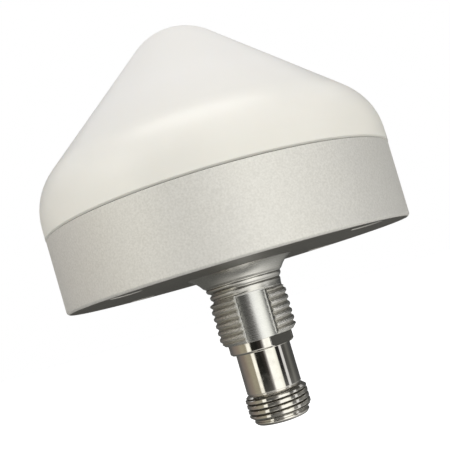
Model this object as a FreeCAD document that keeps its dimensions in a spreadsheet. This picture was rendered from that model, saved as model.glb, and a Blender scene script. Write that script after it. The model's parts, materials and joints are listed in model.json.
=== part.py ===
"""GNSS antenna head: a turned aluminium base with a threaded mounting stud and a coaxial jack,
closed by a conical plastic radome over two stacked ceramic patches and their amplifier board.

The Z axis is the antenna's own axis, +Z points at the sky, and Z = 0 is the underside that rests
on the panel or pole cap. All lengths are millimetres and all angles are degrees.
"""

import FreeCAD, Part

import math
import os
import re

import Sketcher

DIMENSIONS = {
    # base housing: skirt, floor and posts
    "base_radius": 31.0,
    "seam_radius": 31.25,
    "base_height": 13.0,
    "base_wall": 8.0,
    "floor_thickness": 3.5,
    "rim_bevel": 0.35,
    "seam_bevel": 0.15,
    "post_circle": 18.7,
    "post_radius": 3.0,
    "post_top": 11.0,
    "tap_depth": 6.0,
    "seal_groove_inner": 23.8,
    "seal_groove_outer": 25.2,
    "seal_groove_depth": 1.1,
    # mounting stud: M14 x 1.25 thread
    "stud_radius": 6.95,
    "stud_length": 12.88,
    "stud_bevel": 0.7,
    "stud_pitch": 1.25,
    "stud_groove_depth": 0.45,
    "stud_groove_mouth": 0.9,
    "stud_groove_root": 0.109,
    "stud_groove_count": 5,
    "stud_groove_start": 6.1,
    "thread_start": 5.3,
    "neck_radius": 6.45,
    "neck_depth": 5.0,
    "flare_radius": 5.6,
    "flare_ring_radius": 0.35,
    "flare_ring_depth": 0.12,
    "flare_ring_high": 2.36,
    "flare_ring_low": 3.4,
    "land_radius": 6.05,
    "land_half_angle": 26.0,
    "land_reach": 9.0,
    "land_top": 4.75,
    "shank_bore": 4.55,
    "shank_bore_depth": 5.2,
    "seal_step_radius": 5.2,
    "seal_step_depth": 0.58,
    "cable_bore": 1.6,
    # radome
    "radome_radius": 31.35,
    "radome_wall": 3.0,
    "shoulder_height": 15.75,
    "shoulder_radius": 10.67,
    "cone_angle": 46.93,
    "tip_radius": 11.33,
    "foot_bevel": 0.3,
    "foot_inner": 23.3,
    "foot_top": 16.0,
    "seal_radius": 24.5,
    "seal_section": 0.53,
    "boss_radius": 2.9,
    "boss_top": 19.3,
    # screws that hold the radome from below, with their inserts and seals
    "screw_count": 4,
    "screw_circle": 27.0,
    "screw_turn": 45.0,
    "screw_radius": 1.25,
    "screw_hole": 1.4,
    "screw_head_radius": 2.35,
    "screw_head_sink": 0.1,
    "screw_head_depth": 1.1,
    "countersink_radius": 2.5,
    "countersink_angle": 90.0,
    "screw_tip": 17.8,
    "recess_width": 0.6,
    "recess_reach": 1.15,
    "recess_depth": 0.9,
    "insert_radius": 1.75,
    "insert_bore": 1.27,
    "insert_length": 4.8,
    "insert_gap": 0.2,
    "insert_waist": 1.55,
    "insert_hole_depth": 5.1,
    "pilot_depth": 5.7,
    # coaxial jack with a 7/16-28 coupling thread
    "flange_radius": 5.8,
    "flange_height": 1.9,
    "flange_round": 0.3,
    "flange_flat": 5.1,
    "flat_turn": -50.0,
    "barrel_radius": 4.93,
    "jack_thread_radius": 5.555,
    "jack_thread_top": 22.2,
    "jack_thread_bottom": 26.3,
    "jack_pitch": 0.907,
    "jack_groove_depth": 0.4,
    "jack_groove_mouth": 0.48,
    "jack_groove_root": 0.1,
    "jack_groove_count": 4,
    "jack_groove_start": 22.8,
    "relief_radius": 4.6,
    "relief_top": 21.85,
    "nose_top": 26.65,
    "nose_radius": 4.93,
    "nose_bevel": 0.4,
    "jack_length": 27.3,
    "mouth_radius": 4.07,
    "mouth_floor": 19.0,
    "shank_radius": 4.5,
    "shank_top": 5.9,
    "chamber_radius": 3.6,
    "chamber_top": 7.5,
    "braid_bore": 1.12,
    "jack_seal_radius": 4.85,
    "jack_seal_section": 0.28,
    "bead_radius": 3.58,
    "bead_top": 7.55,
    "bead_step": 18.95,
    "bead_post_radius": 2.4,
    "bead_tip": 26.9,
    "bead_bore": 1.1,
    "contact_radius": 1.08,
    "contact_top": 8.0,
    "contact_tip": 26.7,
    "socket_radius": 0.68,
    "socket_depth": 5.0,
    "socket_slot": 0.25,
    "solder_cup_radius": 0.3,
    "solder_cup_depth": 1.6,
    # semi-rigid coaxial cable from the jack to the board
    "cable_start": 7.45,
    "cable_rise": 3.4,
    "cable_bend": 3.0,
    "cable_exit": 13.5,
    "cable_shield_radius": 1.1,
    "cable_shield_top": 10.9,
    "cable_core_radius": 0.84,
    "cable_wire_radius": 0.255,
    "cable_wire_start": 9.4,
    "cable_wire_top": 12.3,
    "cable_solder_radius": 1.9,
    "cable_solder_height": 0.7,
    "cable_solder_gap": 0.02,
    # antenna board
    "board_thickness": 1.6,
    "board_radius": 22.6,
    "board_hole": 1.35,
    "board_screw_length": 4.5,
    "board_screw_head": 2.25,
    "board_screw_head_height": 1.6,
    "washer_thickness": 0.6,
    "washer_inner": 1.3,
    "washer_outer": 2.15,
    "washer_split": 0.35,
    # radiating patches
    "tape_thickness": 0.15,
    "foam_thickness": 0.4,
    "patch_thickness": 4.0,
    "patch_edge_round": 0.6,
    "lower_patch_side": 31.0,
    "lower_electrode_side": 27.5,
    "upper_patch_side": 24.0,
    "upper_electrode_side": 20.5,
    "electrode_thickness": 0.1,
    "pin_radius": 0.4,
    "pin_hole": 0.55,
    "pin_clearance": 1.0,
    "pin_head_radius": 0.85,
    "pin_head_height": 0.2,
    "pin_tail": 0.6,
    "lower_pin_offset": 6.5,
    "upper_pin_offset": 3.0,
    "pin_solder_radius": 0.95,
    "pin_solder_height": 0.45,
    "solder_gap": 0.02,
    # screening can under the board
    "can_centre": -3.0,
    "can_wide": 23.0,
    "can_deep": 29.0,
    "can_sheet": 0.3,
    "can_height": 2.8,
    "lid_gap": 0.05,
    "lid_skirt": 1.6,
    "lid_hole_radius": 0.6,
    "lid_hole_pitch": 3.0,
    "lid_hole_columns": 5,
    "lid_hole_first": -9.0,
    "lid_hole_row": -9.0,
    # components on the board's underside
    "part_stand": 0.05,
    "filter_side": 3.0,
    "filter_height": 1.2,
    "amplifier_side": 2.0,
    "amplifier_height": 0.75,
    "coupler_wide": 5.1,
    "coupler_deep": 6.35,
    "coupler_height": 1.5,
    "regulator_wide": 2.9,
    "regulator_deep": 1.6,
    "regulator_height": 1.1,
    "arrestor_wide": 3.2,
    "arrestor_deep": 4.5,
    "arrestor_height": 2.7,
    "capacitor_long": 1.0,
    "capacitor_wide": 0.5,
    "capacitor_pitch": 1.1,
    "capacitor_count": 7,
    "capacitor_column": -12.6,
    "capacitor_first": -3.3,
    "inductor_long": 1.6,
    "inductor_wide": 0.8,
    "inductor_pitch": 1.8,
    "inductor_count": 4,
    "inductor_column": 7.3,
    "inductor_first": -2.7,
}

# Heights and places that follow from the driving dimensions, as formulas over the sheet's aliases.
CUP_RADIUS = "(base_radius - base_wall)"
SEAL_GROOVE_FLOOR = "(base_height - seal_groove_depth)"
FLARE_CENTRE = "(neck_radius + flare_radius)"
FLARE_FOOT = FLARE_CENTRE + " - sqrt(flare_radius^2 - neck_depth^2)"
FLANGE_BOTTOM = "(stud_length + flange_height)"
SHOULDER_CENTRE = "(radome_radius - shoulder_radius)"
FLANK_NORMAL_X = "cos(cone_angle * 1deg)"
FLANK_NORMAL_Z = "sin(cone_angle * 1deg)"
FLANK_OFFSET = (
    f"({SHOULDER_CENTRE} * {FLANK_NORMAL_X} + shoulder_height * {FLANK_NORMAL_Z} + shoulder_radius)"
)
TIP_CENTRE = f"(({FLANK_OFFSET} - tip_radius) / {FLANK_NORMAL_Z})"
BOARD_TOP = "(post_top + board_thickness)"
LOWER_PATCH = f"({BOARD_TOP} + tape_thickness)"
LOWER_ELECTRODE = f"({LOWER_PATCH} + patch_thickness)"
LOWER_PIN_HEAD = f"({LOWER_ELECTRODE} + electrode_thickness)"
UPPER_PATCH = f"({LOWER_PIN_HEAD} + foam_thickness)"
UPPER_ELECTRODE = f"({UPPER_PATCH} + patch_thickness)"
UPPER_PIN_HEAD = f"({UPPER_ELECTRODE} + electrode_thickness)"
CAN_FLOOR = "(post_top - can_height)"
PARTS_TOP = "(post_top - part_stand)"

# Feed pins stand on the X and Y axes, a quarter turn apart, so the two feeds give circular polarisation.
LOWER_PINS = (("-lower_pin_offset", "0"), ("0", "-lower_pin_offset"))
UPPER_PINS = (("upper_pin_offset", "0"), ("0", "upper_pin_offset"))

# Centres of the components that are placed one by one on the board.
FILTER_CENTRES = (("0", "10.6"), ("5.5", "10.6"), ("0", "-10.6"))
AMPLIFIER_CENTRES = (("-4.5", "10.6"), ("5.5", "5.8"), ("5.5", "-6.2"), ("-4.5", "-10.6"))
COUPLER_CENTRES = (("-9.5", "8.4"), ("-9.5", "-8.4"))
REGULATOR_CENTRE = ("5.5", "-11.2")
ARRESTOR_CENTRE = ("cable_exit", "5.6")

doc = FreeCAD.newDocument("gnss_antenna")
WORD = re.compile(r"[a-z_]+")
subparts = []


# ---------------------------------------------------------------- sheet and formulas


def make_sheet():
    """Put every driving dimension in a spreadsheet cell with an alias."""
    sheet = doc.addObject("Spreadsheet::Sheet", "Dims")
    for row, (alias, number) in enumerate(DIMENSIONS.items(), 1):
        sheet.set(f"A{row}", alias)
        sheet.set(f"B{row}", str(number))
        sheet.setAlias(f"B{row}", alias)
    doc.recompute()
    return sheet


def bound(formula):
    """The formula with each alias written as a reference to the sheet."""
    return WORD.sub(lambda word: "Dims." + word[0] if word[0] in DIMENSIONS else word[0], formula)


def value(formula):
    """The formula's present value."""
    return float(sheet.evalExpression(bound(formula)))


def drive(thing, field, formula):
    """Bind a property of a document object to the sheet."""
    thing.setExpression(field, bound(formula))


# ---------------------------------------------------------------- sketches


def add_body(label):
    """An empty sub-part, whose label is the name of its file."""
    body = doc.addObject("PartDesign::Body", label)
    body.Label = label
    subparts.append(body)
    return body


def datum(body, role):
    """One of the body's own origin planes or axes."""
    return next(item for item in body.Origin.OriginFeatures if item.Role == role)


def add_sketch(body, role, lift="0", shift="0"):
    """A sketch on an origin plane, lifted along the plane's normal and shifted along its own x."""
    sketch = body.newObject("Sketcher::SketchObject", "Sketch")
    sketch.AttachmentSupport = [(datum(body, role), "")]
    sketch.MapMode = "FlatFace"
    drive(sketch, "AttachmentOffset.Base.z", lift)
    drive(sketch, "AttachmentOffset.Base.x", shift)
    return sketch


def fix_point(sketch, edge, vertex, place):
    """Tie one vertex of a sketch edge to its distances from the sketch's origin."""
    for kind, formula, axis in (("DistanceX", place[0], -2), ("DistanceY", place[1], -1)):
        distance = value(formula)
        if abs(distance) < 1e-9:
            sketch.addConstraint(Sketcher.Constraint("PointOnObject", edge, vertex, axis))
            continue
        ends = (-1, 1, edge, vertex) if distance > 0 else (edge, vertex, -1, 1)
        index = sketch.addConstraint(Sketcher.Constraint(kind, *ends, abs(distance)))
        drive(sketch, f"Constraints[{index}]", formula if distance > 0 else f"-({formula})")


def fix_radius(sketch, edge, formula):
    """Tie the radius of a circle or an arc to a formula."""
    index = sketch.addConstraint(Sketcher.Constraint("Radius", edge, value(formula)))
    drive(sketch, f"Constraints[{index}]", formula)


def add_bend(sketch, start, end, radius, left):
    """The shorter arc from start to end, turning left or right. Returns (edge, first, last)."""
    middle = (start + end) * 0.5
    along = end - start
    side = FreeCAD.Vector(-along.y, along.x, 0).normalize()
    reach = math.sqrt(max(radius**2 - (along.Length / 2) ** 2, 0))
    centre = middle + side * (reach if left else -reach)
    first, last = (start, end) if left else (end, start)
    angles = [math.atan2(point.y - centre.y, point.x - centre.x) for point in (first, last)]
    circle = Part.Circle(centre, FreeCAD.Vector(0, 0, 1), radius)
    edge = sketch.addGeometry(Part.ArcOfCircle(circle, *angles), False)
    return (edge, 1, 2) if left else (edge, 2, 1)


def outline(sketch, corners, bends=None, closed=True):
    """Draw an outline through corners, each an (x, y) pair of formulas.

    bends maps the number of a side to (radius formula, "left" or "right") where it is an arc.
    """
    bends = bends or {}
    points = [FreeCAD.Vector(value(x), value(y), 0) for x, y in corners]
    sides = len(points) if closed else len(points) - 1
    edges = []
    for number in range(sides):
        start, end = points[number], points[(number + 1) % len(points)]
        if number in bends:
            radius, turn = bends[number]
            edges.append(add_bend(sketch, start, end, value(radius), turn == "left"))
        else:
            edges.append((sketch.addGeometry(Part.LineSegment(start, end), False), 1, 2))
    joints = sides if closed else sides - 1
    for number in range(joints):
        edge, _, last = edges[number]
        following, first, _ = edges[(number + 1) % sides]
        sketch.addConstraint(Sketcher.Constraint("Coincident", edge, last, following, first))
    for (edge, first, _), corner in zip(edges, corners):
        fix_point(sketch, edge, first, corner)
    if not closed:
        fix_point(sketch, edges[-1][0], edges[-1][2], corners[-1])
    for number, (radius, _) in bends.items():
        fix_radius(sketch, edges[number][0], radius)


def circle(sketch, x, y, radius):
    """A circle whose centre and radius are formulas."""
    centre = FreeCAD.Vector(value(x), value(y), 0)
    edge = sketch.addGeometry(Part.Circle(centre, FreeCAD.Vector(0, 0, 1), value(radius)), False)
    fix_point(sketch, edge, 3, (x, y))
    fix_radius(sketch, edge, radius)


def circles_around(sketch, ring, first_turn, radius):
    """Four circles on a ring, a quarter turn apart."""
    for quarter in range(4):
        turn = f"({first_turn} + {90 * quarter}) * 1deg"
        circle(sketch, f"{ring} * cos({turn})", f"{ring} * sin({turn})", radius)


def rectangle(sketch, x, y, wide, deep):
    """A rectangle about the centre (x, y)."""
    left, right = f"{x} - ({wide}) / 2", f"{x} + ({wide}) / 2"
    near, far = f"{y} - ({deep}) / 2", f"{y} + ({deep}) / 2"
    outline(sketch, ((left, near), (right, near), (right, far), (left, far)))


def rounded_square(sketch, side, corner):
    """A square about the origin with rounded corners."""
    half, short = f"{side} / 2", f"({side} / 2 - {corner})"
    corners = []
    bends = {}
    for x, y in (("", "-"), ("", ""), ("-", ""), ("-", "-")):
        ends = [(f"{x}{short}", f"{y}{half}"), (f"{x}{half}", f"{y}{short}")]
        bends[len(corners)] = (corner, "left")
        corners += ends if x != y else ends[::-1]
    outline(sketch, corners, bends)


# ---------------------------------------------------------------- features


def add_feature(body, kind, sketch=None):
    """A new feature of a body, on its sketch."""
    feature = body.newObject("PartDesign::" + kind, kind)
    if sketch is not None:
        feature.Profile = sketch
        sketch.Visibility = False
    return feature


def settle(body, feature, adds):
    """Recompute, and stop if a feature didn't change the volume the way it should."""
    before = 0.0
    if feature.BaseFeature is not None:
        before = feature.BaseFeature.Shape.Volume
    body.Tip = feature
    doc.recompute()
    change = feature.Shape.Volume - before
    if (change > 0) != adds or abs(change) < 1e-6:
        raise RuntimeError(f"{body.Label}: {feature.Name} changed the volume by {change}")
    return feature


def turned(body, sketch):
    """Material turned about the sketch's own vertical axis."""
    feature = add_feature(body, "Revolution", sketch)
    feature.ReferenceAxis = (sketch, ["V_Axis"])
    feature.Angle = 360
    return settle(body, feature, adds=True)


def turned_away(body, sketch):
    """Material cut away about the sketch's own vertical axis."""
    feature = add_feature(body, "Groove", sketch)
    feature.ReferenceAxis = (sketch, ["V_Axis"])
    feature.Angle = 360
    return settle(body, feature, adds=False)


def raised(body, sketch, height):
    """A pad along the sketch's normal."""
    feature = add_feature(body, "Pad", sketch)
    drive(feature, "Length", height)
    return settle(body, feature, adds=True)


def sunk(body, sketch, depth, upward=False):
    """A pocket, cut down from the sketch unless upward."""
    feature = add_feature(body, "Pocket", sketch)
    drive(feature, "Length", depth)
    feature.Reversed = upward
    return settle(body, feature, adds=False)


def repeated_around(body, features, count):
    """The same features again at equal turns about the body's Z axis."""
    pattern = add_feature(body, "PolarPattern")
    pattern.Originals = features
    pattern.Axis = (datum(body, "Z_Axis"), [""])
    pattern.Angle = 360
    drive(pattern, "Occurrences", count)
    body.Tip = pattern
    doc.recompute()
    return pattern


def repeated_along(body, features, role, pitch, count, backwards=False):
    """The same features again at equal steps along an axis of the body."""
    pattern = add_feature(body, "LinearPattern")
    pattern.Originals = features
    pattern.Direction = (datum(body, role), [""])
    pattern.Reversed = backwards
    drive(pattern, "Length", f"{pitch} * ({count} - 1)")
    drive(pattern, "Occurrences", count)
    body.Tip = pattern
    doc.recompute()
    return pattern


def thread_grooves(body, names):
    """Parallel ring grooves of a screw thread, below one another down the Z axis."""
    radius, depth, mouth, root, first, pitch, count = names
    sketch = add_sketch(body, "XZ_Plane")
    beyond = f"({radius} + {depth})"
    flare = f"({mouth} / 2 + ({mouth} - {root}) / 2)"
    outline(
        sketch,
        (
            (f"{radius} - {depth}", f"-{first} - {root} / 2"),
            (beyond, f"-{first} - {flare}"),
            (beyond, f"-{first} + {flare}"),
            (f"{radius} - {depth}", f"-{first} + {root} / 2"),
        ),
    )
    groove = turned_away(body, sketch)
    repeated_along(body, [groove], "Z_Axis", pitch, count, backwards=True)


# ---------------------------------------------------------------- housing and radome


def make_base_housing():
    """The turned base: skirt, floor, flare and hollow mounting stud in one piece."""
    body = add_body("base_housing")
    section = add_sketch(body, "XZ_Plane")
    corners = (
        ("seal_step_radius", "-stud_length"),
        ("stud_radius - stud_bevel", "-stud_length"),
        ("stud_radius", "stud_bevel - stud_length"),
        ("stud_radius", "-thread_start"),
        ("neck_radius", "-neck_depth"),
        (FLARE_FOOT, "0"),
        ("base_radius - rim_bevel", "0"),
        ("base_radius", "rim_bevel"),
        ("seam_radius", "base_height - seam_bevel"),
        ("seam_radius - seam_bevel", "base_height"),
        ("seal_groove_outer", "base_height"),
        ("seal_groove_outer", SEAL_GROOVE_FLOOR),
        ("seal_groove_inner", SEAL_GROOVE_FLOOR),
        ("seal_groove_inner", "base_height"),
        (CUP_RADIUS, "base_height"),
        (CUP_RADIUS, "floor_thickness"),
        ("cable_bore", "floor_thickness"),
        ("cable_bore", "-shank_bore_depth"),
        ("shank_bore", "-shank_bore_depth"),
        ("shank_bore", "seal_step_depth - stud_length"),
        ("seal_step_radius", "seal_step_depth - stud_length"),
    )
    outline(section, corners, {4: ("flare_radius", "right")})
    turned(body, section)
    add_board_posts(body)
    add_radome_screw_holes(body)
    add_stud_details(body)


def add_board_posts(body):
    """Four tapped posts on the floor carry the board."""
    posts = add_sketch(body, "XY_Plane", lift="floor_thickness")
    circles_around(posts, "post_circle", "0", "post_radius")
    raised(body, posts, "post_top - floor_thickness")
    taps = add_sketch(body, "XY_Plane", lift="post_top")
    circles_around(taps, "post_circle", "0", "insert_bore")
    sunk(body, taps, "tap_depth")


def add_radome_screw_holes(body):
    """Countersunk holes from the underside up through the wall."""
    centres = add_sketch(body, "XY_Plane")
    circles_around(centres, "screw_circle", "screw_turn", "screw_hole")
    doc.recompute()
    holes = add_feature(body, "Hole", centres)
    doc.recompute()
    holes.Reversed = True
    holes.DepthType = "ThroughAll"
    holes.HoleCutType = "Countersink"
    holes.HoleCutCustomValues = True
    drive(holes, "Diameter", "2 * screw_hole")
    drive(holes, "HoleCutDiameter", "2 * countersink_radius")
    drive(holes, "HoleCutCountersinkAngle", "countersink_angle")
    settle(body, holes, adds=False)


def add_stud_details(body):
    """The thread, the turned rings on the flare and the smooth land down one side."""
    rings = add_sketch(body, "XZ_Plane")
    for depth in ("flare_ring_high", "flare_ring_low"):
        surface = f"({FLARE_CENTRE} - sqrt(flare_radius^2 - (neck_depth - {depth})^2))"
        circle(rings, f"{surface} + flare_ring_radius - flare_ring_depth", f"-{depth}", "flare_ring_radius")
    turned_away(body, rings)
    names = (
        "stud_radius",
        "stud_groove_depth",
        "stud_groove_mouth",
        "stud_groove_root",
        "stud_groove_start",
        "stud_pitch",
        "stud_groove_count",
    )
    thread_grooves(body, names)
    land = add_sketch(body, "XY_Plane", lift="-stud_length")
    across, down = "sin(land_half_angle * 1deg)", "cos(land_half_angle * 1deg)"
    corners = (
        (f"-land_radius * {across}", f"-land_radius * {down}"),
        (f"-land_reach * {across}", f"-land_reach * {down}"),
        (f"land_reach * {across}", f"-land_reach * {down}"),
        (f"land_radius * {across}", f"-land_radius * {down}"),
    )
    outline(land, corners, {3: ("land_radius", "right")})
    sunk(body, land, "stud_length - land_top", upward=True)


def make_radome():
    """The conical plastic cover with the flange and bosses of its foot."""
    body = add_body("radome")
    section = add_sketch(body, "XZ_Plane")

    def flank_point(centre_x, centre_z, radius):
        return (f"{centre_x} + {radius} * {FLANK_NORMAL_X}", f"{centre_z} + {radius} * {FLANK_NORMAL_Z}")

    inner_tip, inner_shoulder = "(tip_radius - radome_wall)", "(shoulder_radius - radome_wall)"
    flange_meets_wall = (
        f"{SHOULDER_CENTRE} + sqrt({inner_shoulder}^2 - (foot_top - shoulder_height)^2)"
    )
    corners = (
        ("0", f"{TIP_CENTRE} + tip_radius"),
        flank_point("0", TIP_CENTRE, "tip_radius"),
        flank_point(SHOULDER_CENTRE, "shoulder_height", "shoulder_radius"),
        ("radome_radius", "shoulder_height"),
        ("radome_radius", "base_height + foot_bevel"),
        ("radome_radius - foot_bevel", "base_height"),
        ("foot_inner", "base_height"),
        ("foot_inner", "foot_top"),
        (flange_meets_wall, "foot_top"),
        flank_point(SHOULDER_CENTRE, "shoulder_height", inner_shoulder),
        flank_point("0", TIP_CENTRE, inner_tip),
        ("0", f"{TIP_CENTRE} + {inner_tip}"),
    )
    bends = {
        0: ("tip_radius", "right"),
        2: ("shoulder_radius", "right"),
        8: (inner_shoulder, "left"),
        10: (inner_tip, "left"),
    }
    outline(section, corners, bends)
    turned(body, section)
    bosses = add_sketch(body, "XY_Plane", lift="foot_top - 1")
    circles_around(bosses, "screw_circle", "screw_turn", "boss_radius")
    raised(body, bosses, "boss_top - foot_top + 1")
    for radius, depth in (("insert_radius", "insert_hole_depth"), ("screw_hole", "pilot_depth")):
        holes = add_sketch(body, "XY_Plane", lift="base_height")
        circles_around(holes, "screw_circle", "screw_turn", radius)
        sunk(body, holes, depth, upward=True)


def make_ring_seal(label, ring, section, height):
    """A round-section seal ring about the Z axis."""
    torus = doc.addObject("Part::Torus", label)
    torus.Label = label
    drive(torus, "Radius1", ring)
    drive(torus, "Radius2", section)
    drive(torus, "Placement.Base.z", height)
    subparts.append(torus)


def add_turned_group(label, corners, turn, circle_radius="screw_circle", bends=None):
    """Four equal turned pieces on a ring, first at the given turn from +X."""
    body = add_body(label)
    section = add_sketch(body, "XZ_Plane", shift=circle_radius)
    outline(section, corners, bends)
    piece = turned(body, section)
    repeated_around(body, [piece], "screw_count")
    drive(body, "Placement.Rotation.Angle", f"{turn} * 1deg")
    return body


def make_radome_screws():
    """Four countersunk cross-recessed screws, heads just below the underside."""
    body = add_body("radome_screws")
    head_end = "(screw_head_sink + screw_head_depth)"
    corners = (
        ("0", "screw_head_sink"),
        ("screw_head_radius", "screw_head_sink"),
        ("screw_radius", head_end),
        ("screw_radius", "screw_tip - screw_radius / 2"),
        ("screw_radius / 2", "screw_tip"),
        ("0", "screw_tip"),
    )
    section = add_sketch(body, "XZ_Plane", shift="screw_circle")
    outline(section, corners)
    blank = turned(body, section)
    recess = add_sketch(body, "XY_Plane", lift="screw_head_sink")
    reach, half = "recess_reach", "recess_width / 2"
    arms = (
        (half, f"-{reach}"),
        (half, f"-{half}"),
        (reach, f"-{half}"),
        (reach, half),
        (half, half),
        (half, reach),
        (f"-{half}", reach),
        (f"-{half}", half),
        (f"-{reach}", half),
        (f"-{reach}", f"-{half}"),
        (f"-{half}", f"-{half}"),
        (f"-{half}", f"-{reach}"),
    )
    outline(recess, [(f"screw_circle + {x}", y) for x, y in arms])
    cross = sunk(body, recess, "recess_depth", upward=True)
    repeated_around(body, [blank, cross], "screw_count")
    drive(body, "Placement.Rotation.Angle", "screw_turn * 1deg")


def make_radome_inserts():
    """Four brass threaded inserts, waisted in the middle, set in the radome's bosses."""
    low, high = "(base_height + insert_gap)", "(base_height + insert_gap + insert_length)"
    middle = "(base_height + insert_gap + insert_length / 2)"
    waist = "insert_length / 10"
    corners = (
        ("insert_bore", low),
        ("insert_radius", low),
        ("insert_radius", f"{middle} - {waist}"),
        ("insert_waist", f"{middle} - {waist}"),
        ("insert_waist", f"{middle} + {waist}"),
        ("insert_radius", f"{middle} + {waist}"),
        ("insert_radius", high),
        ("insert_bore", high),
    )
    add_turned_group("radome_inserts", corners, "screw_turn")


# ---------------------------------------------------------------- coaxial jack


def make_connector_body():
    """The plated jack: shank, flange with a wrench flat, barrel, coupling thread and nose."""
    body = add_body("connector_body")
    section = add_sketch(body, "XZ_Plane")
    corners = (
        ("braid_bore", "-shank_top"),
        ("braid_bore", "-chamber_top"),
        ("chamber_radius", "-chamber_top"),
        ("chamber_radius", "-mouth_floor"),
        ("mouth_radius", "-mouth_floor"),
        ("mouth_radius", "-jack_length"),
        ("nose_radius - nose_bevel", "-jack_length"),
        ("nose_radius", "nose_bevel - jack_length"),
        ("nose_radius", "-nose_top"),
        ("relief_radius", "-nose_top"),
        ("relief_radius", "-jack_thread_bottom"),
        ("jack_thread_radius", "-jack_thread_bottom"),
        ("jack_thread_radius", "-jack_thread_top"),
        ("relief_radius", "-jack_thread_top"),
        ("relief_radius", "-relief_top"),
        ("barrel_radius", "-relief_top"),
        ("barrel_radius", f"-{FLANGE_BOTTOM}"),
        ("flange_radius - flange_round", f"-{FLANGE_BOTTOM}"),
        ("flange_radius", f"flange_round - {FLANGE_BOTTOM}"),
        ("flange_radius", "-stud_length"),
        ("shank_radius", "-stud_length"),
        ("shank_radius", "-shank_top"),
    )
    outline(section, corners, {6: ("nose_bevel", "left"), 17: ("flange_round", "left")})
    turned(body, section)
    names = (
        "jack_thread_radius",
        "jack_groove_depth",
        "jack_groove_mouth",
        "jack_groove_root",
        "jack_groove_start",
        "jack_pitch",
        "jack_groove_count",
    )
    thread_grooves(body, names)
    cut_wrench_flats(body)


def cut_wrench_flats(body):
    """Two opposite flats on the flange, for the spanner that screws the jack into the stud."""
    flats = add_sketch(body, "XY_Plane", lift=f"-{FLANGE_BOTTOM}")
    near, far = "flange_flat", "(flange_radius + 1)"
    turn = "flat_turn * 1deg"
    for side in ("", "-"):
        corners = []
        for out, across in ((near, f"-{far}"), (far, f"-{far}"), (far, far), (near, far)):
            x = f"{side}({out} * cos({turn}) - {across} * sin({turn}))"
            y = f"{side}({out} * sin({turn}) + {across} * cos({turn}))"
            corners.append((x, y))
        outline(flats, corners)
    sunk(body, flats, "flange_height", upward=True)


def make_connector_insulator():
    """The stepped PTFE bead that carries the centre contact."""
    body = add_body("connector_insulator")
    section = add_sketch(body, "XZ_Plane")
    corners = (
        ("bead_bore", "-bead_top"),
        ("bead_bore", "-bead_tip"),
        ("bead_post_radius", "-bead_tip"),
        ("bead_post_radius", "-bead_step"),
        ("bead_radius", "-bead_step"),
        ("bead_radius", "-bead_top"),
    )
    outline(section, corners)
    turned(body, section)


def make_connector_contact():
    """The gold-plated socket contact with two slots and a solder cup."""
    body = add_body("connector_contact")
    section = add_sketch(body, "XZ_Plane")
    corners = (
        ("0", "-contact_top - solder_cup_depth"),
        ("solder_cup_radius", "-contact_top - solder_cup_depth"),
        ("solder_cup_radius", "-contact_top"),
        ("contact_radius", "-contact_top"),
        ("contact_radius", "-contact_tip"),
        ("socket_radius", "-contact_tip"),
        ("socket_radius", "socket_depth - contact_tip"),
        ("0", "socket_depth - contact_tip"),
    )
    outline(section, corners)
    turned(body, section)
    slot = add_sketch(body, "XY_Plane", lift="-contact_tip")
    rectangle(slot, "0", "0", "2 * contact_radius + 1", "socket_slot")
    sunk(body, slot, "socket_depth", upward=True)


# ---------------------------------------------------------------- coaxial cable


def add_cable_path(body, start, top):
    """Up the stud, sideways over the floor and up again to the board."""
    path = add_sketch(body, "XZ_Plane")
    level = "(cable_rise + cable_bend)"
    corners = (
        ("0", start),
        ("0", "cable_rise"),
        ("cable_bend", level),
        ("cable_exit - cable_bend", level),
        ("cable_exit", f"{level} + cable_bend"),
        ("cable_exit", top),
    )
    bends = {1: ("cable_bend", "right"), 3: ("cable_bend", "left")}
    outline(path, corners, bends, closed=False)
    return path


def make_cable_layer(label, radii, start, top):
    """One layer of the cable: a solid core for one radius, a tube for two."""
    body = add_body(label)
    ring = add_sketch(body, "XY_Plane", lift=start)
    for radius in radii:
        circle(ring, "0", "0", radius)
    path = add_cable_path(body, start, top)
    doc.recompute()
    pipe = add_feature(body, "AdditivePipe", ring)
    pipe.Spine = (path, [f"Edge{number}" for number in range(1, 6)])
    path.Visibility = False
    settle(body, pipe, adds=True)


def make_cable():
    """Wire, dielectric and copper shield of the semi-rigid cable, and the solder at its top."""
    make_cable_layer("cable_wire", ("cable_wire_radius",), "-cable_wire_start", "cable_wire_top")
    layers = (
        ("cable_dielectric", ("cable_core_radius", "cable_wire_radius")),
        ("cable_shield", ("cable_shield_radius", "cable_core_radius")),
    )
    for label, radii in layers:
        make_cable_layer(label, radii, "-cable_start", "cable_shield_top")
    solder = add_body("cable_solder")
    section = add_sketch(solder, "XZ_Plane", shift="cable_exit")
    inner = "(cable_shield_radius + cable_solder_gap)"
    top = "(post_top - cable_solder_gap)"
    corners = (
        (inner, top),
        (inner, f"{top} - cable_solder_height"),
        ("cable_solder_radius", top),
    )
    outline(section, corners, {1: ("cable_solder_radius", "right")})
    turned(solder, section)


# ---------------------------------------------------------------- board and its fasteners


def make_antenna_board():
    """The round board, with holes for its screws, the feed pins and the cable's wire."""
    body = add_body("antenna_board")
    disc = add_sketch(body, "XY_Plane", lift="post_top")
    circle(disc, "0", "0", "board_radius")
    raised(body, disc, "board_thickness")
    holes = add_sketch(body, "XY_Plane", lift="post_top")
    circles_around(holes, "post_circle", "0", "board_hole")
    for x, y in LOWER_PINS + UPPER_PINS + (("cable_exit", "0"),):
        circle(holes, x, y, "pin_hole")
    sunk(body, holes, "board_thickness", upward=True)


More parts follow.
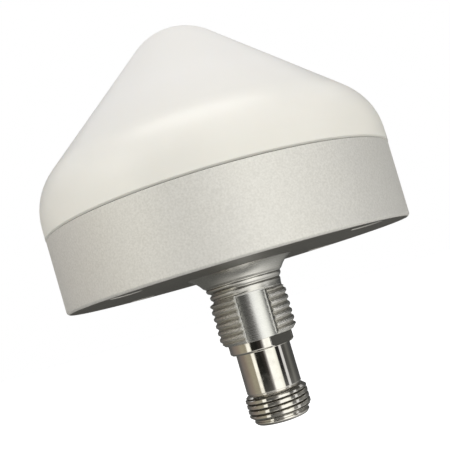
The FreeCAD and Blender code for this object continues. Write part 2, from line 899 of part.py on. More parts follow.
def make_board_fasteners():
    """Four pan-head screws with split spring washers hold the board on its posts."""
    washer_top = f"({BOARD_TOP} + washer_thickness)"
    crown = f"({washer_top} + board_screw_head_height)"
    corners = (
        ("0", f"{BOARD_TOP} - board_thickness - board_screw_length"),
        ("screw_radius", f"{BOARD_TOP} - board_thickness - board_screw_length"),
        ("screw_radius", washer_top),
        ("board_screw_head", washer_top),
        ("board_screw_head", f"{washer_top} + board_screw_head_height / 2"),
        ("board_screw_head / 2", crown),
        ("0", crown),
    )
    add_turned_group("board_screws", corners, "0", circle_radius="post_circle")
    washers = add_body("board_washers")
    section = add_sketch(washers, "XZ_Plane", shift="post_circle")
    ring = (
        ("washer_inner", BOARD_TOP),
        ("washer_outer", BOARD_TOP),
        ("washer_outer", washer_top),
        ("washer_inner", washer_top),
    )
    outline(section, ring)
    blank = turned(washers, section)
    split = add_sketch(washers, "XY_Plane", lift=BOARD_TOP)
    rectangle(split, "post_circle + washer_outer", "0", "2 * washer_outer - washer_split", "washer_split")
    gap = sunk(washers, split, "washer_thickness", upward=True)
    repeated_around(washers, [blank, gap], "screw_count")


# ---------------------------------------------------------------- patches


def make_plate(label, side, level, thickness, corner, holes):
    """A flat square layer with rounded corners and round holes."""
    body = add_body(label)
    plate = add_sketch(body, "XY_Plane", lift=level)
    rounded_square(plate, side, corner)
    for (x, y), radius in holes:
        circle(plate, x, y, radius)
    raised(body, plate, thickness)


def make_pins(label, places, head_level):
    """Feed pins with a flat head on the electrode and a tail through the board."""
    body = add_body(label)
    tails = add_sketch(body, "XY_Plane", lift="post_top - pin_tail")
    for x, y in places:
        circle(tails, x, y, "pin_radius")
    raised(body, tails, f"{head_level} - post_top + pin_tail")
    heads = add_sketch(body, "XY_Plane", lift=head_level)
    for x, y in places:
        circle(heads, x, y, "pin_head_radius")
    raised(body, heads, "pin_head_height")


def make_pin_solder():
    """Solder collars round the four pin tails under the board."""
    body = add_body("pin_solder")
    collars = add_sketch(body, "XY_Plane", lift="post_top - solder_gap - pin_solder_height")
    for x, y in LOWER_PINS + UPPER_PINS:
        circle(collars, x, y, "pin_solder_radius")
        circle(collars, x, y, "pin_radius + solder_gap")
    raised(body, collars, "pin_solder_height")


def make_patches():
    """Both ceramic patches with their adhesive layers, electrodes and pins."""
    clear_all = [(place, "pin_clearance") for place in LOWER_PINS + UPPER_PINS]
    clear_upper = [(place, "pin_clearance") for place in UPPER_PINS]
    snug_lower = [(place, "pin_hole") for place in LOWER_PINS]
    snug_upper = [(place, "pin_hole") for place in UPPER_PINS]
    round_corner = "patch_edge_round"
    lower_holes = snug_lower + clear_upper
    layers = (
        ("lower_adhesive", "lower_patch_side", BOARD_TOP, "tape_thickness", clear_all),
        ("lower_patch", "lower_patch_side", LOWER_PATCH, "patch_thickness", lower_holes),
        ("lower_electrode", "lower_electrode_side", LOWER_ELECTRODE, "electrode_thickness", lower_holes),
        ("upper_adhesive", "upper_patch_side", LOWER_PIN_HEAD, "foam_thickness", clear_all),
        ("upper_patch", "upper_patch_side", UPPER_PATCH, "patch_thickness", snug_upper),
        ("upper_electrode", "upper_electrode_side", UPPER_ELECTRODE, "electrode_thickness", snug_upper),
    )
    for label, side, level, thickness, holes in layers:
        make_plate(label, side, level, thickness, round_corner, holes)
    make_pins("lower_feed_pins", LOWER_PINS, LOWER_PIN_HEAD)
    make_pins("upper_feed_pins", UPPER_PINS, UPPER_PIN_HEAD)
    make_pin_solder()


# ---------------------------------------------------------------- screening can and components


def make_shield_frame():
    """The soldered fence round the amplifier circuit."""
    body = add_body("shield_frame")
    fence = add_sketch(body, "XY_Plane", lift=CAN_FLOOR)
    rectangle(fence, "can_centre", "0", "can_wide", "can_deep")
    rectangle(fence, "can_centre", "0", "can_wide - 2 * can_sheet", "can_deep - 2 * can_sheet")
    raised(body, fence, "can_height")


def make_shield_lid():
    """The lid that clips over the fence, with two rows of vent holes."""
    body = add_body("shield_lid")
    grown = "2 * (lid_gap + can_sheet)"
    outside = add_sketch(body, "XY_Plane", lift=f"{CAN_FLOOR} - lid_gap - can_sheet")
    rectangle(outside, "can_centre", "0", f"(can_wide + {grown})", f"(can_deep + {grown})")
    raised(body, outside, "lid_skirt")
    inside = add_sketch(body, "XY_Plane", lift=f"{CAN_FLOOR} - lid_gap")
    rectangle(inside, "can_centre", "0", "(can_wide + 2 * lid_gap)", "(can_deep + 2 * lid_gap)")
    sunk(body, inside, "lid_skirt", upward=True)
    for row in ("lid_hole_row", "-lid_hole_row"):
        vent = add_sketch(body, "XY_Plane", lift=f"{CAN_FLOOR} - lid_gap - can_sheet")
        circle(vent, "lid_hole_first", row, "lid_hole_radius")
        hole = sunk(body, vent, "can_sheet", upward=True)
        repeated_along(body, [hole], "X_Axis", "lid_hole_pitch", "lid_hole_columns")


def make_blocks(label, centres, wide, deep, height):
    """Rectangular components that hang under the board."""
    body = add_body(label)
    footprint = add_sketch(body, "XY_Plane", lift=f"{PARTS_TOP} - {height}")
    for x, y in centres:
        rectangle(footprint, x, y, wide, deep)
    raised(body, footprint, height)


def make_component_row(label, column, first, wide, deep, pitch, count):
    """A column of small equal components along Y, as tall as they are wide in Y."""
    body = add_body(label)
    footprint = add_sketch(body, "XY_Plane", lift=f"{PARTS_TOP} - {deep}")
    rectangle(footprint, column, first, wide, deep)
    block = raised(body, footprint, deep)
    repeated_along(body, [block], "Y_Axis", pitch, count)


def make_components():
    """Filters, amplifiers, couplers and their supporting parts on the board's underside."""
    make_blocks("saw_filters", FILTER_CENTRES, "filter_side", "filter_side", "filter_height")
    make_blocks(
        "amplifier_chips", AMPLIFIER_CENTRES, "amplifier_side", "amplifier_side", "amplifier_height"
    )
    make_blocks("hybrid_couplers", COUPLER_CENTRES, "coupler_wide", "coupler_deep", "coupler_height")
    make_blocks(
        "voltage_regulator", (REGULATOR_CENTRE,), "regulator_wide", "regulator_deep", "regulator_height"
    )
    make_blocks("surge_arrestor", (ARRESTOR_CENTRE,), "arrestor_wide", "arrestor_deep", "arrestor_height")
    make_component_row(
        "chip_capacitors",
        "capacitor_column",
        "capacitor_first",
        "capacitor_long",
        "capacitor_wide",
        "capacitor_pitch",
        "capacitor_count",
    )
    make_component_row(
        "chip_inductors",
        "inductor_column",
        "inductor_first",
        "inductor_long",
        "inductor_wide",
        "inductor_pitch",
        "inductor_count",
    )


# ---------------------------------------------------------------- build, check and write


def check_document():
    """Stop if any object failed, or if a sub-part's shape is empty or invalid."""
    for item in doc.Objects:
        if {"Invalid", "Error"} & set(item.State):
            raise RuntimeError(f"{item.Label} is {item.State}")
    for piece in subparts:
        shape = piece.Shape
        if shape.isNull() or not shape.isValid() or not shape.Solids:
            raise RuntimeError(f"{piece.Label} has no valid solid")
        if any(solid.Volume <= 0 for solid in shape.Solids):
            raise RuntimeError(f"{piece.Label} has an inside-out solid")


def write_parts():
    """One STEP file for each sub-part, named after its label."""
    os.makedirs("parts", exist_ok=True)
    for piece in subparts:
        piece.Shape.exportStep(os.path.join("parts", piece.Label + ".step"))
        print(f"{piece.Label}: {len(piece.Shape.Solids)} solid(s), {piece.Shape.Volume:.1f} mm3")


sheet = make_sheet()
make_base_housing()
make_radome()
make_ring_seal("radome_seal", "seal_radius", "seal_section", "base_height - seal_groove_depth / 2")
make_radome_screws()
make_radome_inserts()
make_connector_body()
make_ring_seal(
    "connector_seal", "jack_seal_radius", "jack_seal_section", "seal_step_depth / 2 - stud_length"
)
make_connector_insulator()
make_connector_contact()
make_cable()
make_antenna_board()
make_board_fasteners()
make_patches()
make_shield_frame()
make_shield_lid()
make_components()
doc.recompute()
check_document()
write_parts()
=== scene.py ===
"""Looks for the GNSS antenna head: finished surfaces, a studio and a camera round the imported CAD.

Lengths in the geometry helpers are millimetres on the antenna's own axis and become metres when a
mesh is made. Angles on the object are degrees from +X towards +Y.
"""

import json
import math

import bmesh
import bpy
from mathutils import Matrix, Vector


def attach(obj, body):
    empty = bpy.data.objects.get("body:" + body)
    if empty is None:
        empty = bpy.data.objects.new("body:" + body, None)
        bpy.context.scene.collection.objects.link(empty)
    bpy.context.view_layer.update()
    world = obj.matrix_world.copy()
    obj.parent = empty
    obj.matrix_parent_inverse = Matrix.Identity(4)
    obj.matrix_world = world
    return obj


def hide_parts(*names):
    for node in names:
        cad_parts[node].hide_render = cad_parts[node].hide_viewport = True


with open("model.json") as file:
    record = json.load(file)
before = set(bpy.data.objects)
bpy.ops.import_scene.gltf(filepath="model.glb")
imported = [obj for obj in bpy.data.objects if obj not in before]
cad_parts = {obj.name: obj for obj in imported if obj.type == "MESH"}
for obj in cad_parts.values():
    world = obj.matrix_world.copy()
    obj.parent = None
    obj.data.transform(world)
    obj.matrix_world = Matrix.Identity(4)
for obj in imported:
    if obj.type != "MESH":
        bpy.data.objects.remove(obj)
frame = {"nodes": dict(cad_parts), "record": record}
bpy.context.view_layer.update()

MM = 0.001

# The base housing's outside: foot of the skirt, its edge, its widest place and the seam.
SKIRT_ROUND, SKIRT_FOOT, SKIRT_WIDEST = 0.35, 31.0, 31.25
SEAM_HEIGHT, SEAM_EDGE = 13.0, 0.12
# Its inside: the seal's groove, the wall, the floor, and the cable's bore that widens for the jack.
GROOVE_OUTSIDE, GROOVE_INSIDE, GROOVE_FLOOR = 25.2, 23.8, 11.9
WALL_RADIUS, INNER_FLOOR = 23.0, 3.5
CABLE_BORE, JACK_SEAT_HEIGHT = 1.6, -5.2
JACK_BORE, STUD_MOUTH, STUD_MOUTH_HEIGHT = 4.55, 5.2, -12.3
HOUSING_ROUND = 0.12
# The stud: its thread (as wide as the CAD's, and a little shallower), its end and its neck.
STUD_CREST, STUD_PITCH, STUD_DEPTH = 6.95, 1.25, 0.36
STUD_CREST_SHARE = 0.25
STUD_END, STUD_BEVEL, THREAD_TOP = -12.88, 0.7, -5.3
STUD_HELIX_HEIGHT = -4.72
STUD_ROW_STEP = 0.065
NECK_RADIUS, NECK_HEIGHT = 6.45, -5.0
# The flare: the radius of its hollow round, how far from the axis its centre is, and turned rings.
FLARE_RADIUS, FLARE_CENTRE = 5.6, 12.05
FLARE_RINGS, RING_DEPTH, RING_WIDTH = (-2.36, -3.4), 0.2, 0.22
# The smooth land down the stud.
LAND_RADIUS, LAND_HALF_ANGLE, LAND_TOP, LAND_DIRECTION = 6.05, 26.0, -4.75, -90.0
# The thread runs out up the flare, on the side of the stud that faces RUN_OUT_DIRECTION.
RUN_OUT_TOP, RUN_OUT_DEPTH, RUN_OUT_DIRECTION = -2.1, 0.34, 175.0
# The four countersunk radome screws: where they stand, and the radii of their holes.
SCREW_CIRCLE, SCREW_DIRECTION, SCREW_COUNT = 27.0, 45.0, 4
SCREW_SHANK, SCREW_SINK_DEPTH, SCREW_SINK_MOUTH = 1.4, 1.1, 3.5
SCREW_CUT_BELOW, SCREW_CUT_ABOVE = -1.0, 14.0
# The jack: coupling thread, flange with two flats, barrel, relief, nose, mouth and bores.
JACK_CREST, JACK_PITCH, JACK_DEPTH = 5.555, 0.907, 0.42
JACK_THREAD, JACK_CREST_SHARE = (-26.3, -22.2), 0.5
JACK_SHANK, JACK_TOP = 4.5, -5.9
FLANGE_RADIUS, FLANGE_TOP, FLANGE_FOOT, FLANGE_ROUND = 5.8, -12.88, -14.78, 0.3
FLAT_DIRECTION, FLAT_DISTANCE = -50.0, 5.1
BARREL_RADIUS, RELIEF_RADIUS, RELIEF_TOP = 4.93, 4.6, -21.85
NOSE_RADIUS, NOSE_TOP, NOSE_END, NOSE_BEVEL = 4.93, -26.65, -27.3, 0.4
MOUTH_RADIUS, MOUTH_FLOOR = 4.07, -19.0
JACK_CAVITY, CAVITY_TOP, CABLE_HOLE = 3.6, -7.5, 1.12
JACK_ROUND = 0.08
# Points nearer the axis than this are in the stud's mouth or bore.
INSIDE_RADIUS = 5.25
# Parts of the housing that are painted with a material of their own, by number. The underside's number
# paints the underside, the seam's edge, the inner cup and the stud's bore dark as painted shade.
SKIRT, UNDERSIDE_SHADE, FLARE, THREAD, LAND, ROOT_SHADE = range(6)
# The share of a thread's depth beyond which its faces count as the root, which is painted darker as
# painted shade.
ROOT_SHARE = 0.65

# The direction from the object to the camera, as an angle from +X.
CAMERA_BEARING = -95.0


# ---------------------------------------------------------------- mesh helpers


def angle_between(angle, other):
    """Signed difference of two directions in degrees, from -180 to 180."""
    return (angle - other + 180.0) % 360.0 - 180.0


def smooth_step(value):
    """0 below 0, 1 above 1, and an S curve between."""
    value = min(1.0, max(0.0, value))
    return value * value * (3.0 - 2.0 * value)


def column_angles(count, edges=()):
    """Even directions round the axis, with a close pair of extra ones at each edge."""
    angles = {round(360.0 * number / count, 4) for number in range(count)}
    for edge in edges:
        for offset in (-0.9, -0.45, -0.15, 0.15, 0.45, 0.9):
            angles.add(round((edge + offset) % 360.0, 4))
    return sorted(angles)


def rounded(rows, radius, steps=4):
    """The profile with each corner that turns by more than 20 degrees rounded."""
    result = []
    count = len(rows)
    for number, corner in enumerate(rows):
        before = Vector(rows[number - 1])
        here = Vector(corner)
        after = Vector(rows[(number + 1) % count])
        incoming, outgoing = here - before, after - here
        if min(incoming.length, outgoing.length) < 1e-6 or incoming.angle(outgoing) < math.radians(20):
            result.append(corner)
            continue
        reach = min(radius, incoming.length * 0.45, outgoing.length * 0.45)
        first, last = here - incoming.normalized() * reach, here + outgoing.normalized() * reach
        for step in range(steps + 1):
            t = step / steps
            point = first * (1 - t) ** 2 + here * 2 * t * (1 - t) + last * t * t
            result.append(tuple(point))
    return result


def supported(rows, edge=0.05, step=1.5):
    """The open profile with extra rows just inside the ends of each long side, and along it."""
    result = []
    for (first_r, first_z), (last_r, last_z) in zip(rows, rows[1:]):
        result.append((first_r, first_z))
        length = math.dist((first_r, first_z), (last_r, last_z))
        if length < 4 * edge:
            continue
        along = [step * number for number in range(1, int(length / step) + 1)]
        for place in sorted([edge] + along + [length - edge]):
            if edge <= place <= length - edge:
                share = place / length
                result.append((first_r + (last_r - first_r) * share, first_z + (last_z - first_z) * share))
    result.append(rows[-1])
    return result


def turned_mesh(name, rows, angles, shape=None, paint=None):
    """A closed solid of revolution from a closed loop of (r, z) rows.

    shape(r, z, angle) may change a point's radius, and paint(r, z, angle) gives a face's material.
    """
    vertices = []
    for r, z in rows:
        for angle in angles:
            radius = shape(r, z, angle) if shape else r
            turn = math.radians(angle)
            vertices.append((radius * math.cos(turn) * MM, radius * math.sin(turn) * MM, z * MM))
    faces, numbers = [], []
    around, down = len(angles), len(rows)
    for row in range(down):
        below = (row + 1) % down
        middle_r = (rows[row][0] + rows[below][0]) / 2
        middle_z = (rows[row][1] + rows[below][1]) / 2
        for column in range(around):
            beside = (column + 1) % around
            upper, lower = row * around, below * around
            faces.append((upper + column, upper + beside, lower + beside, lower + column))
            numbers.append(paint(middle_r, middle_z, angles[column]) if paint else 0)
    mesh = bpy.data.meshes.new(name)
    mesh.from_pydata(vertices, [], faces)
    mesh.polygons.foreach_set("material_index", numbers)
    outward = bmesh.new()
    outward.from_mesh(mesh)
    bmesh.ops.recalc_face_normals(outward, faces=outward.faces)
    outward.to_mesh(mesh)
    outward.free()
    return mesh


def add_piece(name, mesh, materials, replaced, sharp=32.0):
    """A visible piece on the root body that stands for a CAD node."""
    mesh.shade_smooth()
    mesh.set_sharp_from_angle(angle=math.radians(sharp))
    piece = bpy.data.objects.new(name, mesh)
    bpy.context.scene.collection.objects.link(piece)
    for material in materials:
        mesh.materials.append(material)
    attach(piece, "root")
    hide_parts(replaced)
    return piece


# ---------------------------------------------------------------- base housing


def flare_radius_at(z):
    """Radius of the concave flare between the underside and the neck."""
    return FLARE_CENTRE - math.sqrt(FLARE_RADIUS**2 - (z - NECK_HEIGHT) ** 2)


def stud_blank_radius(z):
    """Radius of the stud before its thread is cut: flare, neck cone, cylinder and end bevel."""
    if z > NECK_HEIGHT:
        radius = flare_radius_at(z)
        for ring in FLARE_RINGS:
            radius -= RING_DEPTH * math.exp(-(((z - ring) / RING_WIDTH) ** 2))
        return radius
    if z > THREAD_TOP:
        share = (NECK_HEIGHT - z) / (NECK_HEIGHT - THREAD_TOP)
        return NECK_RADIUS + (STUD_CREST - NECK_RADIUS) * share
    return STUD_CREST - max(0.0, STUD_END + STUD_BEVEL - z)


def helix_depth(z, angle, pitch, height, crest):
    """0 on the crest and 1 in the root of a right-hand thread; crest is the share it takes up."""
    turns = (z - height) / pitch - angle / 360.0
    from_crest = abs((turns + 0.5) % 1.0 - 0.5) * 2.0
    return smooth_step((from_crest - crest) / (1.0 - crest))


def stud_thread_depth(z, angle):
    """0 on the crest and 1 in the root of the stud's thread."""
    return helix_depth(z, angle, STUD_PITCH, STUD_HELIX_HEIGHT, STUD_CREST_SHARE)


def run_out_depth(z, angle):
    """Depth of the thread where it runs out up the flare."""
    climb = smooth_step((RUN_OUT_TOP - z) / 0.8)
    facing = math.cos(math.radians(angle_between(angle, RUN_OUT_DIRECTION)))
    return RUN_OUT_DEPTH * climb * smooth_step((facing + 0.1) / 0.6)


def stud_surface(r, z, angle):
    """The stud's real radius at a point: helical thread, run-out and smooth land."""
    if r > FLARE_CENTRE or z > -0.02 or r < INSIDE_RADIUS:
        return r
    helix = stud_thread_depth(z, angle)
    radius = stud_blank_radius(z)
    cut = smooth_step((NECK_HEIGHT + 0.1 - z) / 0.5)
    ridge = STUD_CREST - STUD_DEPTH * helix
    faded = radius - run_out_depth(z, angle) * helix
    radius = faded * (1.0 - cut) + min(radius, ridge) * cut
    offset = abs(angle_between(angle, LAND_DIRECTION))
    on_land = smooth_step(LAND_HALF_ANGLE + 0.5 - offset) * smooth_step((LAND_TOP + 0.1 - z) / 0.2)
    return radius * (1.0 - on_land) + min(radius, LAND_RADIUS) * on_land


def housing_profile():
    """Closed profile of the base, from the stud's end round the outside and back inside."""
    stud = []
    z = STUD_END
    while z < -0.05:
        stud.append((stud_blank_radius(z), z))
        z += STUD_ROW_STEP
    outside = [
        (flare_radius_at(0.0), 0.0),
        (SKIRT_FOOT - SKIRT_ROUND, 0.0),
        (SKIRT_FOOT, SKIRT_ROUND),
        (SKIRT_WIDEST, SEAM_HEIGHT - SEAM_EDGE),
        (SKIRT_WIDEST - SEAM_EDGE, SEAM_HEIGHT),
    ]
    inside = [
        (GROOVE_OUTSIDE, SEAM_HEIGHT),
        (GROOVE_OUTSIDE, GROOVE_FLOOR),
        (GROOVE_INSIDE, GROOVE_FLOOR),
        (GROOVE_INSIDE, SEAM_HEIGHT),
        (WALL_RADIUS, SEAM_HEIGHT),
        (WALL_RADIUS, INNER_FLOOR),
        (CABLE_BORE, INNER_FLOOR),
        (CABLE_BORE, JACK_SEAT_HEIGHT),
        (JACK_BORE, JACK_SEAT_HEIGHT),
        (JACK_BORE, STUD_MOUTH_HEIGHT),
        (STUD_MOUTH, STUD_MOUTH_HEIGHT),
        (STUD_MOUTH, STUD_END),
    ]
    return stud + supported(rounded(outside + inside, HOUSING_ROUND, steps=3))


def housing_paint(r, z, angle):
    """Which of the housing's materials a face has. The underside, the seam's edge, the inner cup, the
    stud's bore and the thread roots get painted shade.
    """
    # The skirt's paint stops just below the seam, so that the seam's edge takes the underside's dark
    # paint: a painted shadow line at the seam.
    if r > SKIRT_FOOT - 0.4 and 0.0 < z < SEAM_HEIGHT - SEAM_EDGE + 0.005:
        return SKIRT
    # The underside, the inner cup and the stud's bore take the dark underside paint: painted shade.
    if z > -0.01 or r < INSIDE_RADIUS:
        return UNDERSIDE_SHADE
    if z < LAND_TOP and abs(angle_between(angle, LAND_DIRECTION)) < LAND_HALF_ANGLE:
        return LAND
    if z > NECK_HEIGHT + 0.3:
        return FLARE
    # Deep faces of the thread take the root's darker paint: painted shade in the grooves.
    deep = stud_thread_depth(z, angle) > ROOT_SHARE
    return ROOT_SHADE if deep and z < NECK_HEIGHT else THREAD


def screw_hole_cutter(x, y):
    """A solid of the countersink and shank hole of one radome screw."""
    axis = 0.02
    rows = [
        (axis, SCREW_CUT_BELOW),
        (SCREW_SINK_MOUTH, SCREW_CUT_BELOW),
        (SCREW_SHANK, SCREW_SINK_DEPTH),
        (SCREW_SHANK, SCREW_CUT_ABOVE),
        (axis, SCREW_CUT_ABOVE),
    ]
    mesh = turned_mesh("cutter", rows, column_angles(64))
    mesh.transform(Matrix.Translation((x * MM, y * MM, 0.0)))
    return mesh


def cut_screw_holes(piece):
    """Cut the four countersunk holes and apply the cuts, so that no modifier is left."""
    cutters = []
    for number in range(SCREW_COUNT):
        turn = math.radians(SCREW_DIRECTION + 360.0 / SCREW_COUNT * number)
        mesh = screw_hole_cutter(SCREW_CIRCLE * math.cos(turn), SCREW_CIRCLE * math.sin(turn))
        cutter = bpy.data.objects.new("cutter", mesh)
        bpy.context.scene.collection.objects.link(cutter)
        cutters.append(cutter)
        cut = piece.modifiers.new("screw_hole", "BOOLEAN")
        cut.object = cutter
        cut.operation = "DIFFERENCE"
        cut.solver = "EXACT"
    bpy.context.view_layer.update()
    shape = piece.evaluated_get(bpy.context.evaluated_depsgraph_get())
    result = bpy.data.meshes.new_from_object(shape)
    piece.modifiers.clear()
    piece.data = result
    for cutter in cutters:
        bpy.data.objects.remove(cutter)


def make_housing(materials):
    """The base housing with its true helix, smooth land, turned rings and screw holes."""
    edges = (LAND_DIRECTION - LAND_HALF_ANGLE, LAND_DIRECTION + LAND_HALF_ANGLE)
    angles = column_angles(288, edges)
    mesh = turned_mesh("housing", housing_profile(), angles, stud_surface, housing_paint)
    piece = add_piece("housing", mesh, materials, "base_housing")
    cut_screw_holes(piece)
    return piece


# ---------------------------------------------------------------- jack


def jack_surface(r, z, angle):
    """The jack's real radius at a point: wrench flats on the flange and the coupling thread."""
    if FLANGE_FOOT - 0.01 <= z <= FLANGE_TOP + 0.01 and r > BARREL_RADIUS + 0.05:
        for direction in (FLAT_DIRECTION, FLAT_DIRECTION + 180.0):
            offset = abs(angle_between(angle, direction))
            if offset < 60.0:
                r = min(r, FLAT_DISTANCE / math.cos(math.radians(offset)))
        return r
    low, high = JACK_THREAD
    if low - 0.01 <= z <= high + 0.01 and r > NOSE_RADIUS + 0.02:
        return min(r, JACK_CREST - JACK_DEPTH * jack_thread_depth(z, angle))
    return r


def jack_thread_depth(z, angle):
    """0 on the crest and 1 in the root of the coupling thread."""
    height = JACK_THREAD[1] - JACK_PITCH * 0.5
    return helix_depth(z, angle, JACK_PITCH, height, JACK_CREST_SHARE)


def jack_paint(r, z, angle):
    """1 in the roots of the coupling thread, which are painted darker as painted shade, and 0 elsewhere.
    """
    low, high = JACK_THREAD
    on_thread = low < z < high and r > NOSE_RADIUS
    return 1 if on_thread and jack_thread_depth(z, angle) > ROOT_SHARE else 0


def jack_profile():
    """Closed profile of the jack, down the outside and back up the inside."""
    low, high = JACK_THREAD
    upper = [
        (JACK_SHANK, JACK_TOP),
        (JACK_SHANK, FLANGE_TOP),
        (FLANGE_RADIUS, FLANGE_TOP),
        (FLANGE_RADIUS, FLANGE_FOOT + FLANGE_ROUND),
        (FLANGE_RADIUS - FLANGE_ROUND, FLANGE_FOOT),
        (BARREL_RADIUS, FLANGE_FOOT),
        (BARREL_RADIUS, RELIEF_TOP),
        (RELIEF_RADIUS, RELIEF_TOP),
        (RELIEF_RADIUS, high),
    ]
    thread = []
    steps = 96
    for step in range(steps + 1):
        z = high + (low - high) * step / steps
        edge = min(step, steps - step) / steps * (high - low)
        thread.append((min(JACK_CREST, NOSE_RADIUS + 0.02 + 1.2 * edge), z))
    lower = [
        (RELIEF_RADIUS, low),
        (RELIEF_RADIUS, NOSE_TOP),
        (NOSE_RADIUS, NOSE_TOP),
        (NOSE_RADIUS, NOSE_END + NOSE_BEVEL),
        (NOSE_RADIUS - NOSE_BEVEL, NOSE_END),
        (MOUTH_RADIUS, NOSE_END),
        (MOUTH_RADIUS, MOUTH_FLOOR),
        (JACK_CAVITY, MOUTH_FLOOR),
        (JACK_CAVITY, CAVITY_TOP),
        (CABLE_HOLE, CAVITY_TOP),
        (CABLE_HOLE, JACK_TOP),
    ]
    return supported(rounded(upper, JACK_ROUND)) + thread + supported(rounded(lower, JACK_ROUND))


def make_jack(materials):
    """The plated jack with wrench flats and a helical coupling thread."""
    mesh = turned_mesh("jack", jack_profile(), column_angles(256), jack_surface, jack_paint)
    return add_piece("jack", mesh, materials, "connector_body")


# ---------------------------------------------------------------- material helpers


class NodeTree:
    """A material's or world's node tree, with short helpers for building on it."""

    def __init__(self, owner):
        owner.use_nodes = True
        self.tree = owner.node_tree

    def node(self, kind, inputs=None, **settings):
        """Add a node, with its settings and its inputs (plain values or other nodes' outputs)."""
        made = self.tree.nodes.new(kind)
        for name, setting in settings.items():
            setattr(made, name, setting)
        for name, source in (inputs or {}).items():
            if isinstance(source, bpy.types.NodeSocket):
                self.tree.links.new(source, made.inputs[name])
            else:
                made.inputs[name].default_value = source
        return made

    def math(self, operation, *terms):
        """The result of a maths node on plain numbers or outputs."""
        return self.node("ShaderNodeMath", dict(enumerate(terms)), operation=operation).outputs[0]

    def ramp(self, source, low, high):
        """Map 0 to 1 on to low to high."""
        inputs = {"Value": source, "To Min": low, "To Max": high}
        return self.node("ShaderNodeMapRange", inputs).outputs["Result"]

    def contrast(self, source, start, end):
        """Stretch the range start to end of a value on to 0 to 1."""
        inputs = {"Value": source, "From Min": start, "From Max": end}
        return self.node("ShaderNodeMapRange", inputs).outputs["Result"]

    def mix(self, factor, first, second):
        """A colour between two, each a tuple or an output."""
        inputs = {0: factor}
        inputs[6] = first if isinstance(first, bpy.types.NodeSocket) else (*first, 1.0)
        inputs[7] = second if isinstance(second, bpy.types.NodeSocket) else (*second, 1.0)
        return self.node("ShaderNodeMix", inputs, data_type="RGBA").outputs[2]


class Surface(NodeTree):
    """A material with one Principled shader."""

    def __init__(self, name, color, roughness, metallic=0.0):
        self.material = bpy.data.materials.new(name)
        super().__init__(self.material)
        self.shader = self.tree.nodes["Principled BSDF"]
        self.shader.inputs["Base Color"].default_value = (*color, 1.0)
        self.shader.inputs["Roughness"].default_value = roughness
        self.shader.inputs["Metallic"].default_value = metallic
        self.place = self.tree.nodes.new("ShaderNodeTexCoord").outputs["Object"]
        self.normal = None

    def set(self, **values):
        """Set plain inputs of the shader, with underscores for spaces in their names."""
        for name, number in values.items():
            self.shader.inputs[name.replace("_", " ")].default_value = number
        return self

    def link(self, output, name):
        """Drive one of the shader's inputs."""
        self.tree.links.new(output, self.shader.inputs[name])

    def noise(self, size_mm, detail=3.0, roughness=0.55, place=None):
        """Noise whose features are about size_mm across."""
        inputs = {
            "Vector": place or self.place,
            "Scale": 1.0 / (size_mm * MM),
            "Detail": detail,
            "Roughness": roughness,
        }
        return self.node("ShaderNodeTexNoise", inputs).outputs["Fac"]

    def climb(self, low_mm, high_mm):
        """0 at and below one height on the antenna and 1 at and above another."""
        place = self.node("ShaderNodeNewGeometry").outputs["Position"]
        height = self.node("ShaderNodeSeparateXYZ", {"Vector": place}).outputs["Z"]
        return self.contrast(height, low_mm * MM, high_mm * MM)

    def bump(self, height, depth_mm, strength=1.0):
        """Add relief of about depth_mm on top of any relief already there."""
        inputs = {"Height": height, "Distance": depth_mm * MM, "Strength": strength}
        if self.normal is not None:
            inputs["Normal"] = self.normal
        self.normal = self.node("ShaderNodeBump", inputs).outputs[0]
        self.link(self.normal, "Normal")

    def rings(self, pitch_mm, along="radius"):
        """Fine lathe rings, by distance from the axis or by height."""
        parts = self.node("ShaderNodeSeparateXYZ", {"Vector": self.place}).outputs
        if along == "height":
            travel = parts["Z"]
        else:
            x_squared = self.math("POWER", parts["X"], 2.0)
            y_squared = self.math("POWER", parts["Y"], 2.0)
            travel = self.math("POWER", self.math("ADD", x_squared, y_squared), 0.5)
        line = self.node("ShaderNodeCombineXYZ", {"X": travel}).outputs[0]
        return self.noise(pitch_mm, detail=4.0, roughness=0.7, place=line)


# ---------------------------------------------------------------- materials


def radome_plastic():
    """Warm white satin moulding, darker and warmer towards the foot as painted shade, with a very fine
    texture.
    """
    surface = Surface("radome_plastic", (0.80, 0.77, 0.69), 0.32)
    surface.set(Subsurface_Weight=0.12, Subsurface_Scale=0.0015, IOR=1.5)
    surface.set(Subsurface_Radius=(1.0, 0.8, 0.6))
    cloud = surface.noise(14.0, detail=4.0)
    fine = surface.noise(0.25, detail=2.0)
    # Two tones, each mottled at random; the lower one is darker and warmer, painted shade towards the
    # foot.
    upper_tone = surface.mix(cloud, (0.772, 0.755, 0.718), (0.815, 0.796, 0.764))
    foot_shade_tone = surface.mix(cloud, (0.73, 0.71, 0.64), (0.77, 0.75, 0.68))
    surface.link(surface.mix(surface.climb(14.0, 30.0), foot_shade_tone, upper_tone), "Base Color")
    surface.link(surface.ramp(cloud, 0.26, 0.36), "Roughness")
    surface.bump(fine, 0.004, 0.35)
    return surface.material


def blasted_aluminium():
    """Bead-blasted skirt: fine sparkle, small colour speckle and soft roughness variation."""
    surface = Surface("blasted_aluminium", (0.60, 0.59, 0.55), 0.5, metallic=0.5)
    grain = surface.noise(0.28, detail=3.0, roughness=0.65)
    speckle = surface.contrast(surface.noise(0.3, detail=2.0), 0.3, 0.7)
    patchy = surface.noise(9.0, detail=3.0)
    tone = surface.mix(speckle, (0.655, 0.637, 0.58), (0.785, 0.767, 0.712))
    surface.link(surface.mix(surface.ramp(patchy, 0.0, 0.4), tone, (0.73, 0.725, 0.71)), "Base Color")
    surface.link(surface.ramp(grain, 0.42, 0.60), "Roughness")
    surface.bump(grain, 0.02, 0.55)
    return surface.material


